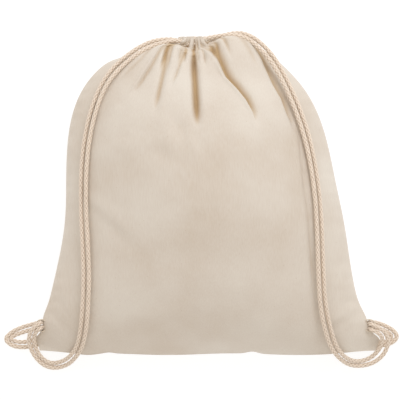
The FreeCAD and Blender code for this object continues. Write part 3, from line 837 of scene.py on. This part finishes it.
def makeHalf(name, side, pleats, swells):
    cloth, height = shapedCloth(side, pleats, swells)
    makePanel(name + "PanelCloth", name + "_panel", side, cloth, height)
    makeHem(name + "CasingHem", name + "_casing", side, cloth, height)
    print(name, "panel and hem ready")
    return cloth


frontCloth = makeHalf("front", 1, frontPleats + shortPleats(gather["seed"]), frontSwells)
backCloth = makeHalf("back", -1, frontPleats[::2] + shortPleats(gather["seed"] + 4), backSwells)


tape = {"middleY": -141.8, "half": 6.4, "reach": 6.8, "root": 3.0, "thick": 1.1, "wide": 8.0}
thread = {"diameter": 0.4, "around": 8, "stitch": 2.3, "pitch": 3.2, "sink": 0.1,
          "steps": 7, "hemRow": 2, "mark": 0.1, "taper": 0.45}
tack = {"tapeRows": 4, "tapePitch": 1.5, "tapeFrom": 0.3, "tapeTo": 2.6,
        "slitRows": 5, "slitPitch": 0.8, "slitBelow": 1.2, "slitHalf": 1.6}
allowance = {"depth": 8.0, "thick": 1.0, "tuck": 1.0, "columns": 14, "loop": 0.35}


def seamLine(column):
    # the side seam of the finished cloth: column 0 on the left, -1 on the right
    return frontCloth[:neckRow + 1, column]


def seamAt(column, y):
    line = seamLine(column)
    return np.array([np.interp(y, line[:, 1], line[:, k]) for k in range(3)])


def makeTapeLoop(name, node, column, side):
    seam = seamAt(column, tape["middleY"])
    turn = np.linspace(0, np.pi, 40)
    arcX = np.concatenate([[-tape["root"], -tape["root"] / 2], np.sin(turn) ** 0.7 * tape["reach"],
                           [-tape["root"] / 2, -tape["root"]]])
    arcY = np.concatenate([[0.8, 0.95], np.cos(turn), [-0.95, -0.8]]) * tape["half"]
    path = np.stack([seam[0] + side * arcX, tape["middleY"] + arcY], axis=1)
    along = np.gradient(path, axis=0)
    along /= np.linalg.norm(along, axis=1)[:, None]
    out = np.stack([-along[:, 1], along[:, 0]], axis=1)
    points = []
    ring = 24
    for p, o in zip(path, out):
        for k in range(ring):
            a = 2 * math.pi * k / ring
            flat = math.copysign(abs(math.cos(a)) ** 0.35, math.cos(a)) * tape["thick"] / 2
            high = math.copysign(abs(math.sin(a)) ** 0.5, math.sin(a)) * tape["wide"] / 2
            points.append((p[0] + o[0] * flat, p[1] + o[1] * flat, seam[2] + high))
    faces = gridFaces(len(path), ring, closed=True, flip=side > 0)
    ends = [list(range(ring)), list(range(len(points) - ring, len(points)))[::-1]]
    faces += ends if side > 0 else [end[::-1] for end in ends]
    piece = meshPiece(name, np.array(points) * mm, faces, cottonTape)
    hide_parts(node)
    return piece


def threadPiece(name, node, stitches):
    # each stitch is a short rounded thread that dips into the cloth at both ends
    points, faces = [], []
    count = thread["around"]
    for start, end, up in stitches:
        start, end, up = np.array(start, float), np.array(end, float), np.array(up, float)
        along = (end - start) / np.linalg.norm(end - start)
        up = up - along * up.dot(along)
        up /= np.linalg.norm(up)
        across = np.cross(along, up)
        base = len(points)
        steps = thread["steps"]
        for n in range(steps):
            share = n / (steps - 1)
            fullness = math.sin(math.pi * (0.08 + 0.84 * share))
            radius = thread["diameter"] / 2 * (thread["taper"] + 0.55 * fullness)
            lift = thread["diameter"] * (0.45 * math.sin(math.pi * share)) - thread["sink"]
            middle = start + (end - start) * share + up * lift
            for k in range(count):
                a = 2 * math.pi * k / count
                points.append(middle + radius * (math.cos(a) * up + math.sin(a) * across))
        faces += [[i + base for i in quad] for quad in gridFaces(steps, count, closed=True)]
        faces.append([base + k for k in range(count)][::-1])
        faces.append([base + (steps - 1) * count + k for k in range(count)])
    piece = meshPiece(name, np.array(points) * mm, faces, cottonThread)
    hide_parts(node)
    return piece


def makeHemStitching(name, node, side, cloth):
    # one row through the folded hem, up and down over its pleats
    line = cloth[neckRow + thread["hemRow"]]
    inside = np.abs(line[:, 0] - bag["mouthX"]) < bag["mouthHalfLength"] * 0.8
    marks, line = evenSteps(line[inside], thread["mark"])
    stitches = []
    at = 0.5
    while at + thread["stitch"] < marks[-1]:
        a = line[int(at / thread["mark"])]
        b = line[int((at + thread["stitch"]) / thread["mark"])]
        stitches.append((a, b, (0, 0.15, side)))
        at += thread["pitch"]
    return threadPiece(name, node, stitches)


def makeTapeBartack(name, node, column, side):
    seam = seamAt(column, tape["middleY"])
    stitches = []
    for arm in (-1, 1):
        y = tape["middleY"] + arm * tape["half"] * 0.97
        for k in range(tack["tapeRows"]):
            z = seam[2] + (k - (tack["tapeRows"] - 1) / 2) * tack["tapePitch"]
            stitches.append(((seam[0] + side * tack["tapeFrom"], y, z),
                             (seam[0] + side * tack["tapeTo"], y, z), (0, arm, 0)))
    return threadPiece(name, node, stitches)


def makeSlitBartack(name, node, column, side):
    seam = seamLine(column)[-1]
    stitches = []
    for k in range(tack["slitRows"]):
        y = seam[1] - tack["slitBelow"] - tack["slitPitch"] * k
        x = seamAt(column, y)[0] + side * 0.1
        stitches.append(((x, y, seam[2] - tack["slitHalf"]), (x, y, seam[2] + tack["slitHalf"]),
                         (side, 0.4, 0)))
    return threadPiece(name, node, stitches)


def makeAllowance(name, node, line, inward, ripple):
    # the two cut edges inside the seam, overlocked together into one wavy strip
    marks, line = evenSteps(line, 1.0)
    inward = np.array(inward, float)
    shape = np.linspace(0, 1, allowance["columns"])
    loops = allowance["loop"] * np.abs(np.sin(marks * np.pi / 2.4))[:, None]
    loops = loops * smoothStep(0.55, 0.75, shape)[None, :]
    wave = ripple * np.sin(marks / 5.3 + 1.5 * np.sin(marks / 19))[:, None] * shape[None, :] ** 2
    rounded = 1 - np.maximum(0, (shape - 0.8) / 0.2) ** 2
    thick = allowance["thick"] / 2 * np.sqrt(np.maximum(0.02, rounded))
    reach = allowance["tuck"] + shape * allowance["depth"]
    middle = line[:, None, :] + inward * reach[None, :, None]
    upper, lower = middle.copy(), middle.copy()
    upper[..., 2] += wave + thick[None, :] + loops
    lower[..., 2] += wave - thick[None, :] - loops
    ring = np.concatenate([upper, lower[:, ::-1]], axis=1)
    count = ring.shape[1]
    faces = gridFaces(len(marks), count, closed=True)
    last = (len(marks) - 1) * count
    faces += [list(range(count))[::-1], [last + k for k in range(count)]]
    piece = meshPiece(name, ring.reshape(-1, 3) * mm, faces, cottonEdge)
    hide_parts(node)
    return piece


makeHemStitching("frontHemStitching", "front_casing_stitching", 1, frontCloth)
makeHemStitching("backHemStitching", "back_casing_stitching", -1, backCloth)
for name, column, side in (("left", 0, -1), ("right", -1, 1)):
    makeTapeLoop(name + "TapeLoop", name + "_corner_tab", column, side)
    makeTapeBartack(name + "TapeBartack", name + "_tab_bartack", column, side)
    makeSlitBartack(name + "SlitBartack", name + "_slit_bartack", column, side)
    line = seamLine(column)
    inside = (line[:, 1] > -150) & (line[:, 1] < 138)
    makeAllowance(name + "SeamAllowance", name + "_seam_allowance", line[inside],
                  (-side, 0, 0), 0.5)
bottomLine = frontCloth[0][np.abs(frontCloth[0][:, 0]) < 133]
makeAllowance("bottomSeamAllowance", "bottom_seam_allowance", bottomLine, (0, 1, 0), 0.4)
print("tapes, seams and stitches ready")
